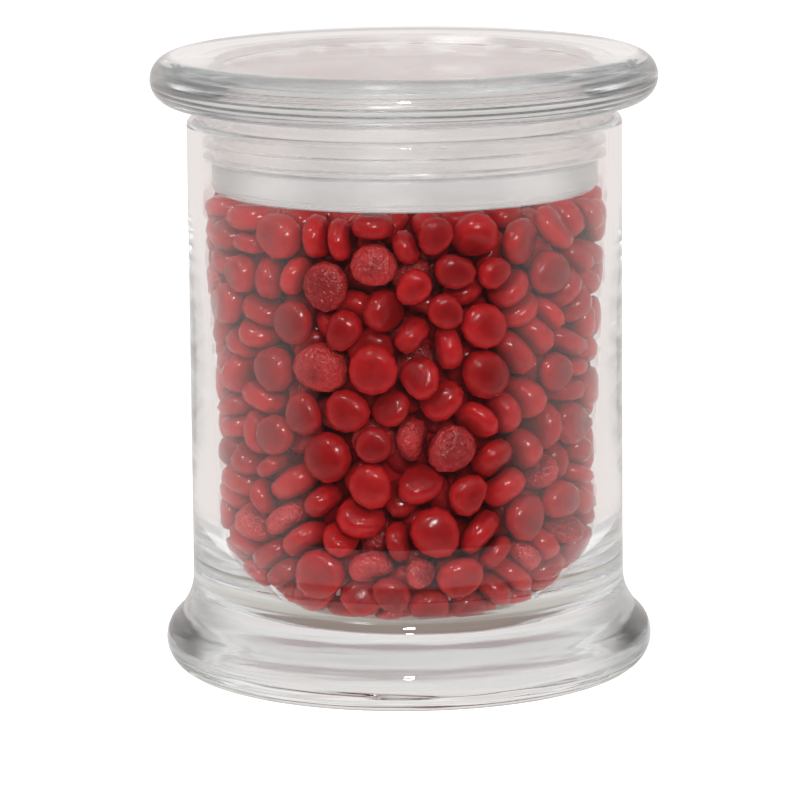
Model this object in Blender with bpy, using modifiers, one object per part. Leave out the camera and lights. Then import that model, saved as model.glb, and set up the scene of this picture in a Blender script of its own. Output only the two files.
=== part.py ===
# Straight-sided glass storage jar with a heavy bulged foot, full of round cinnamon candies.
# A flat-topped glass lid plugs the mouth through a ribbed clear seal.
# Everything is turned about +Z. The origin is the centre of the ring that the jar stands on.
import math

import bmesh
import bpy

MM = 0.001
COLLECTION = "cinnamon_candy_jar"

# Driving dimensions, in millimetres.
BODY_R = 50.8  # straight outer wall
FOOT_R = 57.4  # widest point of the foot
FOOT_ROUND = 7.2  # convex round of the foot
FOOT_FILLET = 14.0  # hollow between foot and wall
RIM_Z = 130.5  # top of the jar's lip
LIP_ROUND = 1.4  # outer round of the lip
LIP_INNER_ROUND = 1.0
MOUTH_R = 47.6  # bore at the mouth
WAIST_R = 45.0  # bore where the wall has thickened, above the corner
TAPER_TOP_Z = 112.0
TAPER_LOW_Z = 38.0
FLOOR_Z = 12.5  # inside floor
FLOOR_R = 30.0  # flat part of the floor
RING_IN_R = 44.0  # inner edge of the standing ring
PUNT_R = 37.0  # flat middle of the raised underside
PUNT_Z = 1.8

LID_R = 59.25
LID_TOP_Z = 145.3
LID_THICK = 11.2  # the rim is a full round of half this
STOPPER_R = 45.2
STOPPER_LOW_Z = 113.8
STOPPER_EDGE = 2.4  # round along the bottom of the stopper
GROOVE_R = 43.4  # neck of the stopper that the seal sits on
GROOVE_LOW_Z = 121.6
GROOVE_EDGE = 0.8

GAP = 0.3  # air left between touching pieces
SEAL_R = 49.4  # flange of the seal, lying on the lip
SLEEVE_THICK = 1.1
FIN_R = 47.1
FIN_ROOT = 1.1  # a fin's thickness at the sleeve
FIN_TIP = 0.5
FIN_PITCH = 3.1
FIN_COUNT = 3
FIN_TOP_Z = 129.4

CANDY_D = 10.6
CANDY_AROUND = 27  # candies side by side along the wall
HEAP_GAP = 0.45  # heap to glass, more than the sagitta of both meshes
HEAP_TOP_GAP = 0.4
DENT = 2.6  # how deep the hollows between candies go
ROW_STEP = 8.6
TOP_RINGS = 4

# Mesh fineness.
TURN_STEPS = 40
HEAP_AROUND = 54
HEAP_WALL_RINGS = 22


def clear_scene():
    for obj in list(bpy.data.objects):
        bpy.data.objects.remove(obj, do_unlink=True)


def arc(centre, radius, start, end, count):
    """Points (r, z) on a circle from angle start to end, in degrees from +r, ends included."""
    points = []
    for i in range(count + 1):
        angle = math.radians(start + (end - start) * i / count)
        points.append((centre[0] + radius * math.cos(angle), centre[1] + radius * math.sin(angle)))
    return points


def smooth(t):
    return t * t * (3.0 - 2.0 * t)


def bore_radius(z):
    """Radius of the jar's inside at height z: corner ellipse, thickened wall, then straight."""
    if z < TAPER_LOW_Z:
        fall = (TAPER_LOW_Z - z) / (TAPER_LOW_Z - FLOOR_Z)
        return FLOOR_R + (WAIST_R - FLOOR_R) * math.sqrt(max(0.0, 1.0 - fall * fall))
    if z < TAPER_TOP_Z:
        rise = (z - TAPER_LOW_Z) / (TAPER_TOP_Z - TAPER_LOW_Z)
        return WAIST_R + (MOUTH_R - WAIST_R) * smooth(rise)
    return MOUTH_R


def bore_heights(corner_count, taper_count):
    """Heights for the bore's profile, closer together where the corner turns into the floor."""
    low = []
    for i in range(corner_count):
        angle = 0.5 * math.pi * i / corner_count
        low.append(TAPER_LOW_Z - (TAPER_LOW_Z - FLOOR_Z) * math.cos(angle))
    high = []
    for i in range(taper_count + 1):
        high.append(TAPER_LOW_Z + (TAPER_TOP_Z - TAPER_LOW_Z) * i / taper_count)
    return low + high


def foot_outline():
    """Outer side from the wall down: hollow fillet, then the convex foot down to the table."""
    foot_centre = (FOOT_R - FOOT_ROUND, FOOT_ROUND)
    reach = FOOT_FILLET + FOOT_ROUND
    across = BODY_R + FOOT_FILLET - foot_centre[0]
    fillet_z = FOOT_ROUND + math.sqrt(reach * reach - across * across)
    fillet_centre = (BODY_R + FOOT_FILLET, fillet_z)
    meet = math.degrees(math.atan2(fillet_z - FOOT_ROUND, across))
    points = arc(fillet_centre, FOOT_FILLET, 180.0, 180.0 + meet, 5)
    points += arc(foot_centre, FOOT_ROUND, meet, -90.0, 9)[1:]
    return points


def jar_profile():
    points = [(0.0, FLOOR_Z)]
    points += [(bore_radius(z), z) for z in bore_heights(6, 4)]
    points += arc((MOUTH_R + LIP_INNER_ROUND, RIM_Z - LIP_INNER_ROUND), LIP_INNER_ROUND, 180.0, 90.0, 2)
    points += arc((BODY_R - LIP_ROUND, RIM_Z - LIP_ROUND), LIP_ROUND, 90.0, 0.0, 3)
    points += foot_outline()
    points += [(RING_IN_R, 0.0), ((RING_IN_R + PUNT_R) / 2.0, PUNT_Z * 0.6)]
    points += [(PUNT_R, PUNT_Z), (0.0, PUNT_Z)]
    return points


def lid_profile():
    half = LID_THICK / 2.0
    under_z = LID_TOP_Z - LID_THICK
    points = [(0.0, LID_TOP_Z)]
    points += arc((LID_R - half, LID_TOP_Z - half), half, 90.0, -90.0, 8)
    points += arc((GROOVE_R + GROOVE_EDGE, under_z - GROOVE_EDGE), GROOVE_EDGE, 90.0, 180.0, 2)
    points += [(GROOVE_R, GROOVE_LOW_Z)]
    points += arc((STOPPER_R - GROOVE_EDGE, GROOVE_LOW_Z - GROOVE_EDGE), GROOVE_EDGE, 90.0, 0.0, 2)
    edge_centre = (STOPPER_R - STOPPER_EDGE, STOPPER_LOW_Z + STOPPER_EDGE)
    points += arc(edge_centre, STOPPER_EDGE, 0.0, -90.0, 3)
    points += [(0.0, STOPPER_LOW_Z)]
    return points


def seal_profile():
    """Closed outline, clockwise: flange on the lip, sleeve with fins, then up the inside."""
    top_z = LID_TOP_Z - LID_THICK - GAP
    inner = GROOVE_R + GAP
    outer = inner + SLEEVE_THICK
    flange_inner = GROOVE_R + GROOVE_EDGE + GAP
    points = [(flange_inner, top_z), (SEAL_R - 0.6, top_z), (SEAL_R, top_z - 0.6)]
    points += [(SEAL_R, RIM_Z + GAP + 0.6), (SEAL_R - 0.6, RIM_Z + GAP), (outer, RIM_Z + GAP)]
    for i in range(FIN_COUNT):
        z = FIN_TOP_Z - FIN_PITCH * i
        points += [(outer, z), (FIN_R, z - (FIN_ROOT - FIN_TIP) / 2.0)]
        points += [(FIN_R, z - (FIN_ROOT + FIN_TIP) / 2.0), (outer, z - FIN_ROOT)]
    low_z = GROOVE_LOW_Z + GAP
    points += [(outer, low_z), (inner, low_z), (inner, top_z - GROOVE_EDGE - GAP)]
    return points


def make_material(name, colour, roughness, transmission=0.0, ior=1.5, coat=0.0):
    material = bpy.data.materials.new(name)
    material.use_nodes = True
    shader = material.node_tree.nodes["Principled BSDF"]
    shader.inputs["Base Color"].default_value = (*colour, 1.0)
    shader.inputs["Metallic"].default_value = 0.0
    shader.inputs["Roughness"].default_value = roughness
    shader.inputs["IOR"].default_value = ior
    shader.inputs["Transmission Weight"].default_value = transmission
    shader.inputs["Coat Weight"].default_value = coat
    return material


def add_object(name, mesh, material, collection):
    obj = bpy.data.objects.new(name, mesh)
    obj.data.materials.append(material)
    collection.objects.link(obj)
    return obj


def turned(name, profile, material, collection, closed=False):
    """Solid of revolution: the profile lies at +X and runs down its outer side."""
    mesh = bpy.data.meshes.new(name)
    edges = [(i, i + 1) for i in range(len(profile) - 1)]
    if closed:
        edges.append((len(profile) - 1, 0))
    mesh.from_pydata([(r * MM, 0.0, z * MM) for r, z in profile], edges, [])
    obj = add_object(name, mesh, material, collection)
    screw = obj.modifiers.new("turn", "SCREW")
    screw.axis = "Z"
    screw.steps = TURN_STEPS
    screw.render_steps = TURN_STEPS
    screw.use_merge_vertices = True
    screw.merge_threshold = 0.00001
    screw.use_smooth_shade = True
    return obj


def heap_envelope():
    """Smooth outline (r, z) of the whole heap, from the floor's centre up to the middle of its top."""
    low_z = FLOOR_Z + HEAP_GAP
    top_z = STOPPER_LOW_Z - HEAP_TOP_GAP
    shoulder = CANDY_D / 2.0
    wall_top_z = top_z - shoulder
    points = [(FLOOR_R * i / 3.0, low_z) for i in range(4)]
    corner = 5
    for i in range(1, corner + 1):
        angle = 0.5 * math.pi * i / corner
        z = TAPER_LOW_Z - (TAPER_LOW_Z - low_z) * math.cos(angle)
        points.append((bore_radius(z) - HEAP_GAP, z))
    for i in range(1, HEAP_WALL_RINGS + 1):
        z = TAPER_LOW_Z + (wall_top_z - TAPER_LOW_Z) * i / HEAP_WALL_RINGS
        points.append((bore_radius(z) - HEAP_GAP, z))
    points += arc((MOUTH_R - HEAP_GAP - shoulder, wall_top_z), shoulder, 0.0, 90.0, 2)[1:]
    top_r = points[-1][0]
    points += [(top_r * (5 - i) / 5.0, top_z) for i in range(1, 6)]
    return points


def candy_centres():
    """Where candies touch the glass and the heap's top: staggered rows that wander a little."""
    centres = []
    row = 0
    z = FLOOR_Z + CANDY_D / 2.0
    while z < STOPPER_LOW_Z - CANDY_D / 2.0:
        for i in range(CANDY_AROUND):
            turn = 2.0 * math.pi * (i + 0.5 * (row % 2)) / CANDY_AROUND + 0.05 * math.sin(2.3 * i + row)
            height = z + 1.3 * math.sin(1.7 * i + 2.9 * row)
            r = bore_radius(height) - HEAP_GAP
            centres.append((r * math.cos(turn), r * math.sin(turn), height))
        z += ROW_STEP
        row += 1
    top_z = STOPPER_LOW_Z - HEAP_TOP_GAP
    for ring in range(TOP_RINGS):
        r = CANDY_D * (ring + 0.6)
        count = int(2.0 * math.pi * r / CANDY_D)
        for i in range(count):
            turn = 2.0 * math.pi * (i + 0.37 * ring) / count
            centres.append((r * math.cos(turn), r * math.sin(turn), top_z))
    return centres


def dent_at(point, centres):
    """Depth below the envelope: nothing over a candy's middle, DENT between candies."""
    nearest = min((point[0] - c[0]) ** 2 + (point[1] - c[1]) ** 2 + (point[2] - c[2]) ** 2 for c in centres)
    across = min(1.0, nearest / (CANDY_D / 2.0) ** 2)
    return DENT * (1.0 - math.sqrt(1.0 - across))


def make_heap(material, collection):
    """The candies as one solid: a sphere's rings laid along the envelope, then dented inwards."""
    envelope = heap_envelope()
    last = len(envelope) - 1
    centres = candy_centres()
    bm = bmesh.new()
    bmesh.ops.create_uvsphere(bm, u_segments=HEAP_AROUND, v_segments=last, radius=1.0)
    for vert in bm.verts:
        ring = round((math.pi - math.acos(max(-1.0, min(1.0, vert.co.z)))) / math.pi * last)
        turn = math.atan2(vert.co.y, vert.co.x)
        r, z = envelope[ring]
        before = envelope[max(0, ring - 1)]
        after = envelope[min(last, ring + 1)]
        along = (after[0] - before[0], after[1] - before[1])
        length = math.hypot(*along)
        inward = (-along[1] / length, along[0] / length)
        dent = 0.0
        if z > FLOOR_Z + HEAP_GAP:
            dent = dent_at((r * math.cos(turn), r * math.sin(turn), z), centres)
        r = max(0.0, r + inward[0] * dent)
        z = z + inward[1] * dent
        vert.co = (r * math.cos(turn) * MM, r * math.sin(turn) * MM, z * MM)
    mesh = bpy.data.meshes.new("candies")
    bm.to_mesh(mesh)
    bm.free()
    mesh.shade_smooth()
    return add_object("candies", mesh, material, collection)


def build():
    clear_scene()
    collection = bpy.data.collections.new(COLLECTION)
    bpy.context.scene.collection.children.link(collection)
    glass = make_material("jar_glass", (0.97, 0.98, 0.98), 0.0, transmission=1.0)
    lid_glass = make_material("lid_glass", (0.96, 0.98, 0.97), 0.0, transmission=1.0)
    clear_plastic = make_material("seal_plastic", (0.93, 0.94, 0.94), 0.15, transmission=0.9)
    candy_red = make_material("candy_red", (0.42, 0.012, 0.014), 0.22, coat=0.6)
    turned("jar", jar_profile(), glass, collection)
    turned("lid", lid_profile(), lid_glass, collection)
    turned("lid_seal", seal_profile(), clear_plastic, collection, closed=True)
    make_heap(candy_red, collection)


build()
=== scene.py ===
import math

import bpy
import numpy as np
from mathutils import Matrix, Vector


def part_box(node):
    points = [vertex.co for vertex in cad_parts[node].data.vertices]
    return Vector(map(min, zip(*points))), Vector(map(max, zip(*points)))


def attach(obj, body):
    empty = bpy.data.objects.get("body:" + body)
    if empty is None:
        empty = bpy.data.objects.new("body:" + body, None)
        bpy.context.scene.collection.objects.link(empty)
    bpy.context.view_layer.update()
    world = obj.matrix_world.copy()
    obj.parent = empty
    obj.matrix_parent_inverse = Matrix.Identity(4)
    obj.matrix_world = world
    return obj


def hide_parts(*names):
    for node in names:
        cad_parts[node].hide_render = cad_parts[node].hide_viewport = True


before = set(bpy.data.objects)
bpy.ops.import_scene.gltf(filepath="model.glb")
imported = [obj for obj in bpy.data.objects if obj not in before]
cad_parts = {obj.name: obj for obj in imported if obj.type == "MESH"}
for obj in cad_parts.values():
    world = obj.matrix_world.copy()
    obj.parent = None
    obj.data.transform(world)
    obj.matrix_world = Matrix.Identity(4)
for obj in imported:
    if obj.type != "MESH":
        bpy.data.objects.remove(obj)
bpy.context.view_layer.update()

mm = 0.001
tau = 2.0 * math.pi


def arc(centre, radius, start, end, count):
    # points (r, z) on a circle between two angles in degrees, ends included
    angle = np.radians(np.linspace(start, end, count + 1))
    return np.stack([centre[0] + radius * np.cos(angle), centre[1] + radius * np.sin(angle)], 1)


def line(start, end, count):
    # points crowd at both ends, so that the smooth shading of a bend stays at the bend
    t = 0.5 - 0.5 * np.cos(np.linspace(0.0, math.pi, count + 1))[:, None]
    return np.array(start)[None] * (1.0 - t) + np.array(end)[None] * t


def joinPaths(*paths):
    # one profile from several stretches, without the points that two stretches share
    points = np.concatenate([np.atleast_2d(p) for p in paths])
    apart = np.linalg.norm(np.diff(points, axis=0), axis=1) > 1e-4
    return points[np.concatenate([[True], apart])]


def meshFrom(name, points, faces, material):
    mesh = bpy.data.meshes.new(name)
    mesh.from_pydata(points, [], faces)
    mesh.update()
    mesh.shade_smooth()
    piece = bpy.data.objects.new(name, mesh)
    bpy.context.scene.collection.objects.link(piece)
    mesh.materials.append(material)
    return piece


def gridFaces(rows, around, closedRows):
    # quads between neighbouring rows of a grid that closes round in its second direction
    i = np.arange(rows if closedRows else rows - 1)[:, None]
    j = np.arange(around)[None]
    a = i * around + j
    b = i * around + (j + 1) % around
    c = ((i + 1) % rows) * around + (j + 1) % around
    d = ((i + 1) % rows) * around + j
    return np.stack([a, d, c, b], 2).reshape(-1, 4)


def turned(name, profile, steps, material, closed=False):
    # point (r, z) of the profile goes round the axis: (r cos t, r sin t, z). The profile
    # runs down its outer side. An open one starts and ends on the axis, in single points.
    t = np.arange(steps) * tau / steps
    body = profile if closed else profile[1:-1]
    r, z = body[:, :1] * mm, body[:, 1:] * mm
    ring = np.stack([r * np.cos(t), r * np.sin(t), z + 0.0 * t], 2).reshape(-1, 3)
    faces = gridFaces(len(body), steps, closed).tolist()
    if not closed:
        poles = [[0.0, 0.0, profile[0, 1] * mm], [0.0, 0.0, profile[-1, 1] * mm]]
        first, last = len(ring), len(ring) + 1
        low = (len(body) - 1) * steps
        nextStep = (np.arange(steps) + 1) % steps
        faces += [[first, int(j), int(k)] for j, k in zip(range(steps), nextStep)]
        faces += [[last, int(low + k), int(low + j)] for j, k in zip(range(steps), nextStep)]
        ring = np.concatenate([ring, poles])
    piece = meshFrom(name, ring.tolist(), faces, material)
    if closed:
        piece.data.set_sharp_from_angle(angle=math.radians(40.0))
    return piece


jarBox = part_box("jar")
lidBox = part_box("lid")
jar = {
    "wallR": 50.8,
    "footR": jarBox[1].x / mm,
    "footRound": 7.2,
    "footFillet": 14.0,
    "rimZ": jarBox[1].z / mm,
    "lipRound": 1.4,
    "lipInnerRound": 1.0,
    "mouthR": 47.6,
    "waistR": 45.0,
    "taperTopZ": 112.0,
    "taperLowZ": 38.0,
    "floorZ": 12.5,
    "floorR": 30.0,
    "ringInR": 44.0,
    "puntR": 37.0,
    "puntZ": 1.8,
    "steps": 192,
}


def boreRadius(z):
    # corner ellipse below, then a wall that thins towards the mouth on a smooth step
    fall = np.clip((jar["taperLowZ"] - z) / (jar["taperLowZ"] - jar["floorZ"]), 0.0, 1.0)
    corner = jar["floorR"] + (jar["waistR"] - jar["floorR"]) * np.sqrt(1.0 - fall * fall)
    rise = np.clip((z - jar["taperLowZ"]) / (jar["taperTopZ"] - jar["taperLowZ"]), 0.0, 1.0)
    wall = jar["waistR"] + (jar["mouthR"] - jar["waistR"]) * rise * rise * (3.0 - 2.0 * rise)
    return np.where(z < jar["taperLowZ"], corner, wall)


def jarProfile():
    corner = np.radians(np.linspace(0.0, 90.0, 25))
    cornerZ = jar["taperLowZ"] - (jar["taperLowZ"] - jar["floorZ"]) * np.cos(corner)
    wallZ = np.linspace(jar["taperLowZ"], jar["taperTopZ"], 25)
    bore = np.concatenate([cornerZ, wallZ])
    lip, lipIn = jar["lipRound"], jar["lipInnerRound"]
    footCentre = (jar["footR"] - jar["footRound"], jar["footRound"])
    across = jar["wallR"] + jar["footFillet"] - footCentre[0]
    filletZ = jar["footRound"] + math.sqrt((jar["footFillet"] + jar["footRound"]) ** 2 - across ** 2)
    meet = math.degrees(math.atan2(filletZ - jar["footRound"], across))
    return joinPaths(
        line((0.0, jar["floorZ"]), (jar["floorR"], jar["floorZ"]), 10),
        np.stack([boreRadius(bore), bore], 1),
        line((jar["mouthR"], jar["taperTopZ"]), (jar["mouthR"], jar["rimZ"] - lipIn), 12),
        arc((jar["mouthR"] + lipIn, jar["rimZ"] - lipIn), lipIn, 180.0, 90.0, 8),
        arc((jar["wallR"] - lip, jar["rimZ"] - lip), lip, 90.0, 0.0, 10),
        line((jar["wallR"], jar["rimZ"] - lip), (jar["wallR"], filletZ), 26),
        arc((jar["wallR"] + jar["footFillet"], filletZ), jar["footFillet"], 180.0, 180.0 + meet, 18),
        arc(footCentre, jar["footRound"], meet, -90.0, 30),
        puntProfile(),
    )


def puntProfile():
    # the raised middle of the underside climbs on a half cosine from the standing ring
    t = np.linspace(0.0, 1.0, 13)
    r = jar["ringInR"] + (jar["puntR"] - jar["ringInR"]) * t
    z = jar["puntZ"] * 0.5 * (1.0 - np.cos(math.pi * t))
    return joinPaths(np.stack([r, z], 1), line((jar["puntR"], jar["puntZ"]), (0.0, jar["puntZ"]), 6))


lid = {
    "rimR": lidBox[1].x / mm,
    "topZ": lidBox[1].z / mm,
    "thick": 11.2,
    "stopperR": 45.2,
    "stopperLowZ": lidBox[0].z / mm,
    "stopperEdge": 2.4,
    "grooveR": 43.4,
    "grooveLowZ": 121.6,
    "grooveEdge": 0.8,
    "steps": 192,
}
seal = {
    "gap": 0.3,
    "flangeR": 49.4,
    "sleeve": 1.1,
    "finR": 47.1,
    "finRoot": 1.1,
    "finTip": 0.5,
    "finPitch": 3.1,
    "finCount": 3,
    "finTopZ": 129.4,
    "steps": 144,
}


def lidProfile():
    half = lid["thick"] / 2.0
    underZ = lid["topZ"] - lid["thick"]
    edge, groove = lid["stopperEdge"], lid["grooveEdge"]
    return joinPaths(
        line((0.0, lid["topZ"]), (lid["rimR"] - half, lid["topZ"]), 16),
        arc((lid["rimR"] - half, lid["topZ"] - half), half, 90.0, -90.0, 40),
        arc((lid["grooveR"] + groove, underZ - groove), groove, 90.0, 180.0, 6),
        line((lid["grooveR"], underZ - groove), (lid["grooveR"], lid["grooveLowZ"]), 8),
        arc((lid["stopperR"] - groove, lid["grooveLowZ"] - groove), groove, 90.0, 0.0, 6),
        arc((lid["stopperR"] - edge, lid["stopperLowZ"] + edge), edge, 0.0, -90.0, 12),
        line((lid["stopperR"] - edge, lid["stopperLowZ"]), (0.0, lid["stopperLowZ"]), 16),
    )


def sealProfile():
    topZ = lid["topZ"] - lid["thick"] - seal["gap"]
    inner = lid["grooveR"] + seal["gap"]
    outer = inner + seal["sleeve"]
    lipZ = jar["rimZ"] + seal["gap"]
    flangeR, nose = seal["flangeR"], 0.6
    points = [(inner + lid["grooveEdge"], topZ), (flangeR - nose, topZ), (flangeR, topZ - nose)]
    points += [(flangeR, lipZ + nose), (flangeR - nose, lipZ), (outer, lipZ)]
    for i in range(seal["finCount"]):
        z = seal["finTopZ"] - seal["finPitch"] * i
        middle = z - seal["finRoot"] / 2.0
        tip = seal["finTip"] / 2.0
        points += [(outer, z), (seal["finR"], middle + tip)]
        points += [(seal["finR"], middle - tip), (outer, z - seal["finRoot"])]
    lowZ = lid["grooveLowZ"] + seal["gap"]
    points += [(outer, lowZ), (inner, lowZ), (inner, topZ - lid["grooveEdge"] - seal["gap"])]
    return np.array(points)


candy = {
    "count": 690,
    "across": 11.1,
    "acrossSpread": 1.15,
    "flatness": 0.58,
    "flatnessSpread": 0.05,
    "acrossLimits": (7.4, 13.2),
    "flatnessLimits": (0.46, 0.7),
    "coreR": 26.0,
    "coreTopZ": 102.0,
    "coreGap": 3.0,
    "startR": 42.0,
    "startGap": 5.0,
    "startScale": 0.62,
    "steps": 900,
    "growing": 0.5,
    "searchEvery": 8,
    "searchGap": 1.5,
    "shift": 0.45,
    "twist": 0.3,
    "inertia": 0.4,
    "wallStiffness": 2.0,
    "seed": 7,
    "around": 12,
    "rows": ((0.6, 0.97), (0.9, 0.62), (1.0, 0.0)),
    "dimple": 0.87,
    "dimpleRange": (0.88, 1.12),
    "outOfRound": 0.075,
    "unevenRange": (0.3, 1.6),
    "flatterFace": 0.8,
    "mostTilt": 0.1,
    "mostBump": 0.07,
    "thinner": 0.05,
    "wallGap": 0.12,
    "topGap": 0.3,
    "mottledShare": 0.16,
}


def rowSum(index, values, count):
    return np.stack([np.bincount(index, values[:, k], count) for k in range(3)], 1)


def ontoDisc(point, centre, axis, radius):
    # nearest point of a flat disc to a point
    v = point - centre
    v = v - (v * axis).sum(1)[:, None] * axis
    length = np.linalg.norm(v, axis=1) + 1e-9
    return centre + v * np.minimum(1.0, radius / length)[:, None]


def pairPushes(place, axis, disc, thick, first, second):
    # each candy is a flat disc with its half thickness rolled all round it. Two touch where
    # their discs come nearer than the two half thicknesses; each goes back half of that.
    p, q = place[first], place[second]
    for _ in range(4):
        p = ontoDisc(q, place[first], axis[first], disc[first])
        q = ontoDisc(p, place[second], axis[second], disc[second])
    gap = np.linalg.norm(p - q, axis=1)
    crossed = gap < 0.3
    away = np.where(crossed[:, None], place[first] - place[second], p - q)
    away = away / (np.linalg.norm(away, axis=1) + 1e-9)[:, None]
    over = thick[first] + thick[second] - np.where(crossed, 0.0, gap)
    hit = over > 0.0
    f, s, away = first[hit], second[hit], away[hit]
    push = 0.5 * over[hit][:, None] * away
    armF = p[hit] - away * thick[f][:, None] - place[f]
    armS = q[hit] + away * thick[s][:, None] - place[s]
    count = len(place)
    move = rowSum(f, push, count) - rowSum(s, push, count)
    turn = rowSum(f, np.cross(armF, push), count) - rowSum(s, np.cross(armS, push), count)
    return move, turn


def wallPush(axis, disc, thick, outward, gap):
    # how far a candy reaches along outward, against the gap it has that way
    along = (outward * axis).sum(1)[:, None]
    across = outward - along * axis
    spread = np.linalg.norm(across, axis=1)
    over = np.maximum(disc * spread + thick - gap, 0.0)
    touch = across / (spread[:, None] + 1e-9) * disc[:, None] + outward * thick[:, None]
    push = -outward * over[:, None]
    return push, np.cross(touch, push)


def fillJar():
    # Candies start small at random places in a ring round the core. They grow, push each
    # other and the glass apart, and turn, until they lie packed against the wall.
    rng = np.random.default_rng(candy["seed"])
    count = candy["count"]
    across = rng.normal(candy["across"], candy["acrossSpread"], count)
    halfAcross = 0.5 * across.clip(*candy["acrossLimits"])
    flatness = rng.normal(candy["flatness"], candy["flatnessSpread"], count)
    halfThick = halfAcross * flatness.clip(*candy["flatnessLimits"])
    topZ = lid["stopperLowZ"] - candy["topGap"]
    startGap = candy["startGap"]
    z = rng.uniform(jar["floorZ"] + startGap, topZ - startGap, 4 * count)
    r = np.sqrt(rng.uniform(0.0, candy["startR"] ** 2, 4 * count))
    outside = r > candy["coreR"] + candy["coreGap"]
    above = z > candy["coreTopZ"] + candy["coreGap"]
    free = np.where(outside | above)[0][:count]
    z, r = z[free], r[free]
    t = rng.uniform(0.0, tau, count)
    place = np.stack([r * np.cos(t), r * np.sin(t), z], 1)
    axis = rng.normal(size=(count, 3))
    axis /= np.linalg.norm(axis, axis=1)[:, None]
    down = np.tile([0.0, 0.0, -1.0], (count, 1))
    for step in range(candy["steps"]):
        share = min(1.0, step / (candy["growing"] * candy["steps"]))
        grown = candy["startScale"] + (1.0 - candy["startScale"]) * share
        thick = halfThick * grown
        disc = halfAcross * grown - thick
        if step % candy["searchEvery"] == 0:
            apart = ((place[:, None] - place[None]) ** 2).sum(2)
            near = (halfAcross[:, None] + halfAcross[None] + candy["searchGap"]) ** 2
            first, second = np.where(np.triu(apart < near, 1))
        move, turn = pairPushes(place, axis, disc, thick, first, second)
        rho = np.hypot(place[:, 0], place[:, 1]) + 1e-6
        out = np.stack([place[:, 0] / rho, place[:, 1] / rho, 0.0 * rho], 1)
        height = place[:, 2]
        slope = np.clip(boreRadius(height + 0.5) - boreRadius(height - 0.5), 0.0, 2.5)
        lean = np.sqrt(1.0 + slope ** 2)
        glassWay = (out + slope[:, None] * down) / lean[:, None]
        over = height - candy["coreTopZ"]
        beside = rho - candy["coreR"]
        coreWay = np.where((over > beside)[:, None], down, -out)
        walls = (
            (glassWay, (boreRadius(height) - rho) / lean - candy["wallGap"]),
            (down, height - jar["floorZ"] - candy["wallGap"]),
            (-down, topZ - height),
            (coreWay, np.maximum(over, beside)),
        )
        for way, gap in walls:
            push, twist = wallPush(axis, disc, thick, way, gap)
            move += candy["wallStiffness"] * push
            turn += candy["wallStiffness"] * twist
        place = place + candy["shift"] * move
        inertia = candy["inertia"] * (halfAcross * grown) ** 2
        axis = axis + np.cross(candy["twist"] * turn / inertia[:, None], axis)
        axis /= np.linalg.norm(axis, axis=1)[:, None]
    return place, axis, halfAcross, halfThick, rng


def unitCandy(rng, count):
    # A lens with a shallow dimple in each face: the rows give (across, up) from the face to
    # the edge. It is a little out of round and wedge-shaped, and its lower face is flatter.
    # Returns count x points x 3, in half-sizes.
    around = candy["around"]
    half = np.array(candy["rows"])
    across = np.concatenate([half[:, 0], half[-2::-1, 0]])
    up = np.concatenate([half[:, 1], -half[-2::-1, 1]])
    t = np.arange(around) * tau / around
    turnBy = rng.uniform(0.0, tau, (count, 4, 1))
    uneven = candy["outOfRound"] * rng.uniform(*candy["unevenRange"], (count, 1))
    oval = uneven * np.cos(2.0 * t + turnBy[:, 0])
    corner = 0.5 * uneven * np.cos(3.0 * t + turnBy[:, 1])
    rim = 1.0 + oval + corner
    rim = rim / rim.max(1)[:, None]
    across = across[None, :, None]
    up = up[None, :, None]
    x = rim[:, None] * across * np.cos(t)
    y = rim[:, None] * across * np.sin(t)
    # it is higher on one side, with a wave of three bumps round it
    flatter = rng.uniform(candy["flatterFace"], 1.0, (count, 1, 1))
    tilt = rng.uniform(0.0, candy["mostTilt"], (count, 1, 1))
    tilt = tilt * (across * np.cos(t + turnBy[:, 2:3]) - 1.0)
    bumps = rng.uniform(0.0, candy["mostBump"], (count, 1, 1))
    bumps = bumps * across * np.cos(3.0 * t + turnBy[:, 3:4])
    z = np.maximum(up, 0.0) + np.minimum(up, 0.0) * flatter
    z = z * (1.0 + tilt + bumps - candy["thinner"])
    shell = np.stack([x, y, z + 0.0 * x], 3).reshape(count, -1, 3)
    dimple = candy["dimple"] * rng.uniform(*candy["dimpleRange"], (count, 2))
    middle = 1.0 - candy["thinner"] + tilt.mean(2)[:, 0]
    poles = np.zeros((count, 2, 3))
    poles[:, 0, 2] = dimple[:, 0] * middle
    poles[:, 1, 2] = -dimple[:, 1] * middle * flatter[:, 0, 0]
    return np.concatenate([shell, poles], 1)


def candyFaces():
    around, rows = candy["around"], 2 * len(candy["rows"]) - 1
    quads = gridFaces(rows, around, False)
    j = np.arange(around)
    k = (j + 1) % around
    top, low, last = rows * around, rows * around + 1, (rows - 1) * around
    upper = np.stack([top + 0 * j, j, k], 1)
    lower = np.stack([low + 0 * j, last + k, last + j], 1)
    return quads, np.concatenate([upper, lower])


def candyMesh(name, chosen, shells, tints, material):
    # many candies in one mesh. Each vertex keeps a tint as an attribute: half its candy's
    # own, half the cube of how far out it lies. That half is painted rim light: the edges are
    # painted lighter than the faces, for the light that shines through and off them
    quads, caps = candyFaces()
    across = [row[0] for row in candy["rows"]]
    # painted rim light: the cube of how far out each vertex lies
    outward = np.concatenate([np.repeat(across + across[-2::-1], candy["around"]), [0.0, 0.0]]) ** 3
    perCandy = shells.shape[1]
    offset = (np.arange(len(chosen)) * perCandy)[:, None, None]
    faces = (quads[None] + offset).reshape(-1, 4).tolist()
    faces += (caps[None] + offset).reshape(-1, 3).tolist()
    piece = meshFrom(name, shells[chosen].reshape(-1, 3).tolist(), faces, material)
    tintAndRimLight = piece.data.attributes.new("tintAndRimLight", "FLOAT", "POINT")
    tintAndRimLight.data.foreach_set("value", 0.5 * (tints[chosen][:, None] + outward).ravel())
    return piece


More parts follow.
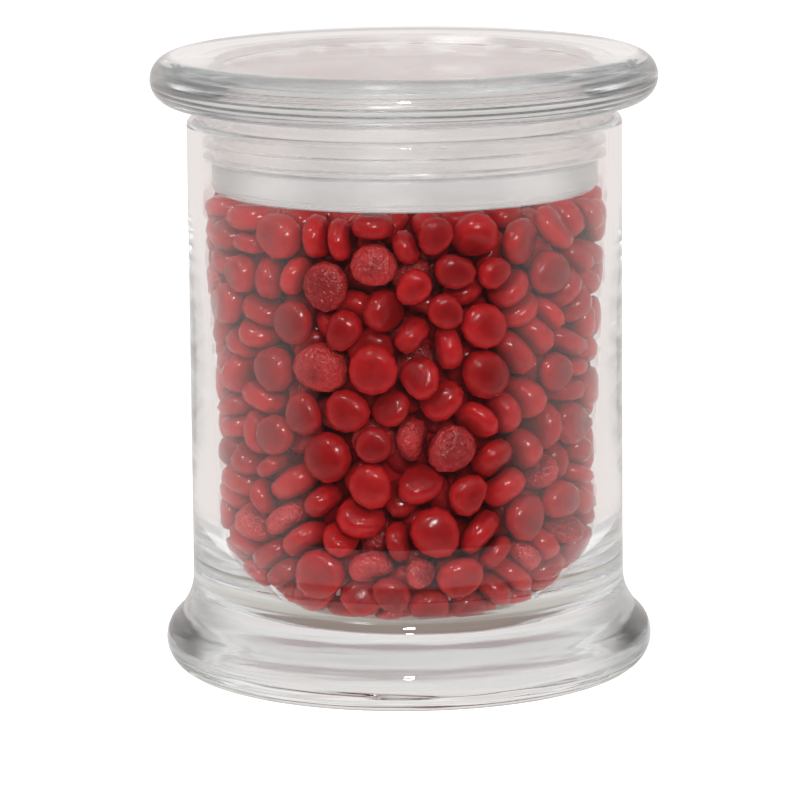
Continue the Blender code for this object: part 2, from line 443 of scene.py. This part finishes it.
def placeCandies():
    place, axis, halfAcross, halfThick, rng = fillJar()
    count = len(place)
    shells = unitCandy(rng, count)
    helper = np.where(np.abs(axis[:, 2:]) < 0.9, [[0.0, 0.0, 1.0]], [[1.0, 0.0, 0.0]])
    side = np.cross(helper, axis)
    side /= np.linalg.norm(side, axis=1)[:, None]
    other = np.cross(axis, side)
    scaled = shells * np.stack([halfAcross, halfAcross, halfThick], 1)[:, None]
    world = scaled[:, :, :1] * side[:, None] + scaled[:, :, 1:2] * other[:, None]
    world = world + scaled[:, :, 2:] * axis[:, None]
    world = world + place[:, None]
    # where a candy still presses into the glass, it is flattened against it
    world[:, :, 2] = np.maximum(world[:, :, 2], jar["floorZ"] + candy["wallGap"])
    rho = np.hypot(world[:, :, 0], world[:, :, 1]) + 1e-9
    free = np.minimum(1.0, (boreRadius(world[:, :, 2]) - candy["wallGap"]) / rho)
    world = world * np.stack([free, free, np.ones_like(free)], 2) * mm
    tints = rng.uniform(0.0, 1.0, count)
    mottled = rng.uniform(0.0, 1.0, count) < candy["mottledShare"]
    return world, tints, mottled


core = {
    "topZ": 103.0,
    "topR": 22.0,
    "shoulder": ((26.0, 100.0), (31.0, 92.0)),
    "sideR": 33.0,
    "sideTopZ": 84.0,
    "sideLowZ": 46.0,
    "heel": (24.0, 19.0),
    "lowR": 18.0,
    "lowZ": 17.0,
    "steps": 48,
}


def coreProfile():
    # fills the unseen middle of the heap, inside the innermost candies
    side = core["sideR"]
    return joinPaths(
        line((0.0, core["topZ"]), (core["topR"], core["topZ"]), 4),
        line(core["shoulder"][0], core["shoulder"][1], 2),
        line((side, core["sideTopZ"]), (side, core["sideLowZ"]), 6),
        line((side, core["sideLowZ"]), core["heel"], 4),
        line((core["lowR"], core["lowZ"]), (0.0, core["lowZ"]), 3),
    )


def newMaterial(name):
    material = bpy.data.materials.new(name)
    material.use_nodes = True
    tree = material.node_tree
    return material, tree, tree.nodes["Principled BSDF"]


def mathNode(tree, operation, first, second=None):
    node = tree.nodes.new("ShaderNodeMath")
    node.operation = operation
    for socket, value in zip(node.inputs, (first, second)):
        if isinstance(value, (int, float)):
            socket.default_value = value
        elif value is not None:
            tree.links.new(value, socket)
    return node.outputs[0]


def smoothRange(tree, value, low, high, lowTo, highTo):
    node = tree.nodes.new("ShaderNodeMapRange")
    node.interpolation_type = "SMOOTHSTEP"
    node.inputs["From Min"].default_value = low
    node.inputs["From Max"].default_value = high
    node.inputs["To Min"].default_value = lowTo
    node.inputs["To Max"].default_value = highTo
    tree.links.new(value, node.inputs["Value"])
    return node.outputs["Result"]


def rampNode(tree, value, stops):
    # a colour ramp through (position, colour) stops, colours given as grey or as (r, g, b)
    node = tree.nodes.new("ShaderNodeValToRGB")
    node.color_ramp.interpolation = "EASE"
    for i, (position, colour) in enumerate(stops):
        stop = node.color_ramp.elements[i] if i < 2 else node.color_ramp.elements.new(position)
        stop.position = position
        stop.color = (*colour, 1.0) if isinstance(colour, tuple) else (colour, colour, colour, 1.0)
    tree.links.new(value, node.inputs["Fac"])
    return node.outputs["Color"]


def mixColour(tree, share, first, second):
    # this node's sockets 6 and 7 and its outlet 2 are the ones for colours
    node = tree.nodes.new("ShaderNodeMix")
    node.data_type = "RGBA"
    tree.links.new(share, node.inputs["Factor"])
    tree.links.new(first, node.inputs[6])
    tree.links.new(second, node.inputs[7])
    return node.outputs[2]


def axisDistance(tree, coords):
    flat = tree.nodes.new("ShaderNodeVectorMath")
    flat.operation = "MULTIPLY"
    flat.inputs[1].default_value = (1.0, 1.0, 0.0)
    length = tree.nodes.new("ShaderNodeVectorMath")
    length.operation = "LENGTH"
    tree.links.new(coords.outputs["Object"], flat.inputs[0])
    tree.links.new(flat.outputs[0], length.inputs[0])
    return length.outputs["Value"]


def noiseNode(tree, coords, scale, detail):
    noise = tree.nodes.new("ShaderNodeTexNoise")
    noise.inputs["Scale"].default_value = scale
    noise.inputs["Detail"].default_value = detail
    tree.links.new(coords.outputs["Object"], noise.inputs["Vector"])
    return noise.outputs["Fac"]


def clearMaterial(name, look):
    # clear glass or plastic. Lamps and soft light go straight through it to what is inside.
    material, tree, shader = newMaterial(name)
    shader.inputs["Base Color"].default_value = (*look["colour"], 1.0)
    shader.inputs["Roughness"].default_value = look["roughness"]
    shader.inputs["IOR"].default_value = look["ior"]
    shader.inputs["Transmission Weight"].default_value = look["clear"]
    coords = tree.nodes.new("ShaderNodeTexCoord")
    apart = tree.nodes.new("ShaderNodeSeparateXYZ")
    tree.links.new(coords.outputs["Object"], apart.inputs[0])
    if look["stipple"] > 0.0:
        # fine stipple on the underside only
        low = mathNode(tree, "LESS_THAN", apart.outputs["Z"], look["stippleTop"])
        reach = mathNode(tree, "LESS_THAN", axisDistance(tree, coords), look["stippleR"])
        amount = mathNode(tree, "MULTIPLY", mathNode(tree, "MULTIPLY", low, reach), look["stipple"])
        tree.links.new(amount, shader.inputs["Roughness"])
    # waves of the mould: broad round the axis and close together up it
    stretch = tree.nodes.new("ShaderNodeMapping")
    stretch.inputs["Scale"].default_value = look["waves"]
    noise = tree.nodes.new("ShaderNodeTexNoise")
    noise.inputs["Scale"].default_value = 1.0
    noise.inputs["Detail"].default_value = 2.2
    bump = tree.nodes.new("ShaderNodeBump")
    bump.inputs["Distance"].default_value = look["waveHeight"]
    tree.links.new(coords.outputs["Object"], stretch.inputs["Vector"])
    tree.links.new(stretch.outputs[0], noise.inputs["Vector"])
    height = noise.outputs["Fac"]
    if look["calm"] < 1.0:
        # the drawn wall is calmer than the pressed foot
        calm = smoothRange(tree, apart.outputs["Z"], *look["calmFrom"], 1.0, look["calm"])
        height = mathNode(tree, "MULTIPLY", height, calm)
    tree.links.new(height, bump.inputs["Height"])
    tree.links.new(bump.outputs["Normal"], shader.inputs["Normal"])
    path = tree.nodes.new("ShaderNodeLightPath")
    either = mathNode(tree, "MAXIMUM", path.outputs["Is Shadow Ray"], path.outputs["Is Diffuse Ray"])
    through = tree.nodes.new("ShaderNodeBsdfTransparent")
    through.inputs["Color"].default_value = (0.97, 0.97, 0.97, 1.0)
    mix = tree.nodes.new("ShaderNodeMixShader")
    tree.links.new(either, mix.inputs[0])
    tree.links.new(shader.outputs[0], mix.inputs[1])
    tree.links.new(through.outputs[0], mix.inputs[2])
    outlet = tree.nodes["Material Output"]
    tree.links.new(mix.outputs[0], outlet.inputs["Surface"])
    if look["absorb"] > 0.0:
        # a metre of it leaves exp(-absorb * (1 - tint)) of each colour
        inside = tree.nodes.new("ShaderNodeVolumeAbsorption")
        inside.inputs["Color"].default_value = (*look["tint"], 1.0)
        inside.inputs["Density"].default_value = look["absorb"]
        tree.links.new(inside.outputs[0], outlet.inputs["Volume"])
    return material


candyLook = {
    "deep": (0.13, 0.0025, 0.003),
    "bright": (0.28, 0.007, 0.008),
    "patchScale": 260.0,
    "roughness": 0.14,
    "gloss": 0.22,
    "soft": 0.8,
    "softDepth": 0.003,
    "grainScale": 330.0,
    "grainHeight": 0.00022,
}
pittedLook = dict(candyLook, deep=(0.15, 0.006, 0.007), bright=(0.31, 0.022, 0.022), roughness=0.2)
pittedLook.update(grainScale=900.0, grainHeight=0.001)
# the core is painted a lighter red than the candies: painted light in the shaded gaps between them
coreGapLightLook = dict(candyLook, deep=(0.3, 0.006, 0.008), bright=(0.4, 0.008, 0.01))
coreGapLightLook.update(roughness=0.6, gloss=0.0)


def candyMaterial(name, look):
    # Hard sugar shell: red that differs a little from candy to candy, soft inside and under
    # a gloss. Its depth is half the candy's own tint with its painted rim light, and half a soft
    # patchiness.
    material, tree, shader = newMaterial(name)
    coords = tree.nodes.new("ShaderNodeTexCoord")
    tintAndRimLight = tree.nodes.new("ShaderNodeAttribute")
    tintAndRimLight.attribute_name = "tintAndRimLight"
    patches = noiseNode(tree, coords, look["patchScale"], 3.0)
    both = mathNode(tree, "ADD", patches, tintAndRimLight.outputs["Fac"])
    depth = mathNode(tree, "MULTIPLY", both, 0.5)
    ramp = rampNode(tree, depth, [(0.2, look["deep"]), (0.8, look["bright"])])
    tree.links.new(ramp, shader.inputs["Base Color"])
    shader.inputs["Roughness"].default_value = look["roughness"]
    shader.inputs["IOR"].default_value = 1.5
    shader.inputs["Specular IOR Level"].default_value = look["gloss"]
    shader.inputs["Subsurface Weight"].default_value = look["soft"]
    shader.inputs["Subsurface Radius"].default_value = (1.0, 0.25, 0.2)
    shader.inputs["Subsurface Scale"].default_value = look["softDepth"]
    bump = tree.nodes.new("ShaderNodeBump")
    bump.inputs["Distance"].default_value = look["grainHeight"]
    tree.links.new(noiseNode(tree, coords, look["grainScale"], 2.0), bump.inputs["Height"])
    tree.links.new(bump.outputs["Normal"], shader.inputs["Normal"])
    return material


jarLook = {
    "colour": (1.0, 1.0, 1.0),
    "roughness": 0.0,
    "ior": 1.5,
    "clear": 1.0,
    "stipple": 0.16,
    "stippleR": 0.046,
    "stippleTop": 0.003,
    "calm": 0.02,
    "calmFrom": (0.014, 0.026),
    "waves": (17.0, 17.0, 260.0),
    "waveHeight": 0.0005,
    "tint": (0.0, 0.06, 0.05),
    "absorb": 1.2,
}
lidLook = dict(jarLook, stipple=0.2, stippleR=0.0475, stippleTop=lidBox[0].z + 0.0026, calm=1.0)
lidLook.update(waves=(16.0, 16.0, 90.0), waveHeight=0.0001, tint=(0.0, 0.04, 0.04), absorb=2.95)
sealLook = {
    "colour": (0.965, 0.94, 0.935),
    "roughness": 0.16,
    "ior": 1.33,
    "clear": 0.96,
    "stipple": 0.0,
    "calm": 1.0,
    "waves": (40.0, 40.0, 40.0),
    "waveHeight": 0.00002,
    "tint": (1.0, 1.0, 1.0),
    "absorb": 0.0,
}


studio = {
    "floorR": 3.0,
    "floorSides": 96,
    "floorLift": 0.42,
}
# light of the room by the angle above the horizon in degrees. The side zone begins 60 degrees
# round from the front and the back zone at 138 degrees, each with a soft border.
room = {
    "front": [
        (-60.0, 0.45), (-30.0, 0.3), (-18.0, 0.04), (-2.0, 0.06), (8.0, (0.3, 0.26, 0.25)),
        (22.0, 0.85), (32.0, 0.9), (45.0, 0.95), (70.0, 0.65),
    ],
    "side": [
        (-45.0, 0.45), (-23.0, (0.72, 0.68, 0.66)), (-9.0, (0.86, 0.77, 0.74)), (4.0, 0.42),
        (19.0, 0.5), (34.0, 1.0), (70.0, 0.66),
    ],
    "sideFrom": 60.0,
    "sideBorder": 30.0,
    "back": [
        (-42.0, 0.28), (-24.0, (0.83, 0.79, 0.77)), (0.0, (0.83, 0.78, 0.76)),
        (10.0, (1.03, 0.98, 0.96)), (17.0, 0.92), (22.0, (0.56, 0.61, 0.6)),
        (28.0, (0.84, 0.88, 0.87)), (40.0, (0.6, 0.58, 0.575)), (70.0, (0.8, 0.62, 0.6)),
    ],
    "backFrom": 138.0,
    "backBorder": 24.0,
}
# painted light and shadow on the glowing near floor: a dark reddish shadow under the jar, bright
# round it, dimmer further out
nearFloor = {
    "radius": 0.16,
    "sink": 0.0004,
    "paintedLightTones": [
        (0.0, (0.25, 0.2, 0.18)), (0.24, (0.29, 0.24, 0.21)), (0.33, (0.56, 0.54, 0.5)),
        (0.42, 1.0), (0.62, 1.02), (0.76, 0.66),
    ],
}
# up and aside are directions from the jar in degrees, size and reach are metres
lamps = {
    "keyLight": {"radiance": 60.0, "size": 0.17, "up": 18.5, "aside": 0.0, "reach": 1.6},
    "glintFront": {"radiance": 120.0, "size": 0.21, "up": 24.0, "aside": 10.0, "reach": 1.6},
    "glintLeft": {"radiance": 120.0, "size": 0.18, "up": 48.0, "aside": -36.0, "reach": 1.7},
    "fillLight": {"radiance": 0.8, "size": 1.0, "up": 38.0, "aside": -12.0, "reach": 1.7},
}
seenLamp = "keyLight"
lampAimZ = 0.06
view = {
    "distance": 1250.0,
    "lookDown": 10.4,
    "aimZ": 62.9,
    "aside": -1.602,
    "roll": -0.54,
    "pixelsFocal": 5305.5,
    "frameWidth": 800.0,
}


def makeCamera():
    lens = bpy.data.cameras.new("camera")
    lens.sensor_width = 36.0
    lens.lens = 36.0 * view["pixelsFocal"] / view["frameWidth"]
    lens.clip_end = 20.0
    camera = bpy.data.objects.new("camera", lens)
    bpy.context.scene.collection.objects.link(camera)
    down = math.radians(view["lookDown"])
    reach = view["distance"] * mm
    target = Vector((view["aside"] * mm, 0.0, view["aimZ"] * mm))
    place = target + Vector((0.0, -reach * math.cos(down), reach * math.sin(down)))
    look = (target - place).to_track_quat("-Z", "Y").to_matrix().to_4x4()
    roll = Matrix.Rotation(math.radians(view["roll"]), 4, "Z")
    camera.matrix_world = Matrix.Translation(place) @ look @ roll
    bpy.context.scene.camera = camera


def makeFloor():
    material, tree, shader = newMaterial("paleFloor")
    shader.inputs["Base Color"].default_value = (0.9, 0.9, 0.9, 1.0)
    shader.inputs["Roughness"].default_value = 0.7
    shader.inputs["Specular IOR Level"].default_value = 0.2
    shader.inputs["Emission Color"].default_value = (1.0, 1.0, 1.0, 1.0)
    shader.inputs["Emission Strength"].default_value = studio["floorLift"]
    sides = studio["floorSides"]
    t = np.arange(sides) * tau / sides
    points = np.stack([studio["floorR"] * np.cos(t), studio["floorR"] * np.sin(t), 0.0 * t], 1)
    floor = meshFrom("floor", points.tolist(), [list(range(sides))], material)
    floor.visible_glossy = False
    floor.visible_transmission = False
    # a glowing disc that the glass shows as the bright floor close to the jar: painted light,
    # with a painted shadow of the jar on it, dark and reddish under the jar
    glow = bpy.data.materials.new("nearFloor")
    glow.use_nodes = True
    tree = glow.node_tree
    tree.nodes.remove(tree.nodes["Principled BSDF"])
    light = tree.nodes.new("ShaderNodeEmission")
    coords = tree.nodes.new("ShaderNodeTexCoord")
    length = tree.nodes.new("ShaderNodeVectorMath")
    length.operation = "LENGTH"
    tree.links.new(coords.outputs["Object"], length.inputs[0])
    share = mathNode(tree, "DIVIDE", length.outputs["Value"], nearFloor["radius"])
    tree.links.new(rampNode(tree, share, nearFloor["paintedLightTones"]), light.inputs["Color"])
    tree.links.new(light.outputs[0], tree.nodes["Material Output"].inputs["Surface"])
    points = points * nearFloor["radius"] / studio["floorR"] - [0.0, 0.0, nearFloor["sink"]]
    near = meshFrom("nearFloor", points.tolist(), [list(range(sides))], glow)
    near.visible_camera = False
    near.visible_diffuse = False
    near.visible_shadow = False


def makeWorld():
    # What the glass shows: a pale room, darker in front at about its own height, where the
    # camera stands. Each ramp gives the light by the angle above the horizon, from -90 to
    # 90 degrees, for one way round the room. The camera itself sees plain white.
    world = bpy.data.worlds.new("studio")
    world.use_nodes = True
    bpy.context.scene.world = world
    tree = world.node_tree
    coords = tree.nodes.new("ShaderNodeTexCoord")
    split = tree.nodes.new("ShaderNodeSeparateXYZ")
    tree.links.new(coords.outputs["Generated"], split.inputs[0])
    forward = mathNode(tree, "MULTIPLY", split.outputs["Y"], -1.0)
    turn = mathNode(tree, "ABSOLUTE", mathNode(tree, "ARCTAN2", split.outputs["X"], forward))
    rise = mathNode(tree, "ARCSINE", split.outputs["Z"])
    share = mathNode(tree, "MULTIPLY_ADD", rise, 1.0 / math.pi)
    share.node.inputs[2].default_value = 0.5
    colour = rampNode(tree, share, [((el + 90.0) / 180.0, c) for el, c in room["front"]])
    for zone in ("side", "back"):
        centre, border = room[zone + "From"], room[zone + "Border"]
        low, high = math.radians(centre - border / 2.0), math.radians(centre + border / 2.0)
        further = rampNode(tree, share, [((el + 90.0) / 180.0, c) for el, c in room[zone]])
        colour = mixColour(tree, smoothRange(tree, turn, low, high, 0.0, 1.0), colour, further)
    back = tree.nodes["Background"]
    tree.links.new(colour, back.inputs["Color"])
    white = tree.nodes.new("ShaderNodeBackground")
    white.inputs["Color"].default_value = (1.0, 1.0, 1.0, 1.0)
    mix = tree.nodes.new("ShaderNodeMixShader")
    path = tree.nodes.new("ShaderNodeLightPath")
    tree.links.new(path.outputs["Is Camera Ray"], mix.inputs[0])
    tree.links.new(back.outputs[0], mix.inputs[1])
    tree.links.new(white.outputs[0], mix.inputs[2])
    tree.links.new(mix.outputs[0], tree.nodes["World Output"].inputs["Surface"])


def makeLamp(name, look):
    # a lamp of the given size whose face has the given radiance, aimed at the jar
    lamp = bpy.data.lights.new(name, "AREA")
    lamp.shape = "DISK"
    lamp.size = look["size"]
    lamp.energy = look["radiance"] * math.pi * math.pi * (look["size"] / 2.0) ** 2
    lit = bpy.data.objects.new(name, lamp)
    bpy.context.scene.collection.objects.link(lit)
    up, aside = math.radians(look["up"]), math.radians(look["aside"])
    away = Vector((math.sin(aside) * math.cos(up), -math.cos(aside) * math.cos(up), math.sin(up)))
    place = Vector((0.0, 0.0, lampAimZ)) + look["reach"] * away
    lit.matrix_world = Matrix.Translation(place) @ away.to_track_quat("Z", "Y").to_matrix().to_4x4()
    # the other lamps give light and highlights, but the glass shows no picture of them
    lamp.cycles.use_multiple_importance_sampling = name == seenLamp


def setRender():
    scene = bpy.context.scene
    scene.view_settings.view_transform = "Standard"
    scene.view_settings.look = "None"
    scene.cycles.max_bounces = 48
    scene.cycles.transmission_bounces = 48
    scene.cycles.transparent_max_bounces = 24
    scene.cycles.glossy_bounces = 40
    scene.cycles.diffuse_bounces = 4
    scene.cycles.sample_clamp_indirect = 6.0
    scene.cycles.use_denoising = True


def ridePiece(piece, node):
    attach(piece, "root")
    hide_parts(node)


makeCamera()
makeFloor()
makeWorld()
for lampName, lampLook in lamps.items():
    makeLamp(lampName, lampLook)
setRender()
print("stage ready")

jarGlass = clearMaterial("jarGlass", jarLook)
lidGlass = clearMaterial("lidGlass", lidLook)
sealPlastic = clearMaterial("sealPlastic", sealLook)
jarBody = turned("jarBody", jarProfile(), jar["steps"], jarGlass)
ridePiece(jarBody, "jar")
lidBody = turned("lidBody", lidProfile(), lid["steps"], lidGlass)
ridePiece(lidBody, "lid")
sealRing = turned("sealRing", sealProfile(), seal["steps"], sealPlastic, closed=True)
ridePiece(sealRing, "lid_seal")
print("glass ready")

glossy = candyMaterial("glossyCandy", candyLook)
pitted = candyMaterial("pittedCandy", pittedLook)
world, tints, mottled = placeCandies()
smoothOnes = candyMesh("glossyCandies", np.where(~mottled)[0], world, tints, glossy)
roughOnes = candyMesh("pittedCandies", np.where(mottled)[0], world, tints, pitted)
ridePiece(smoothOnes, "candies")
ridePiece(roughOnes, "candies")
print("candies ready", len(tints))

coreMaterial = candyMaterial("candyCore", coreGapLightLook)
ridePiece(turned("candyCore", coreProfile(), core["steps"], coreMaterial), "candies")
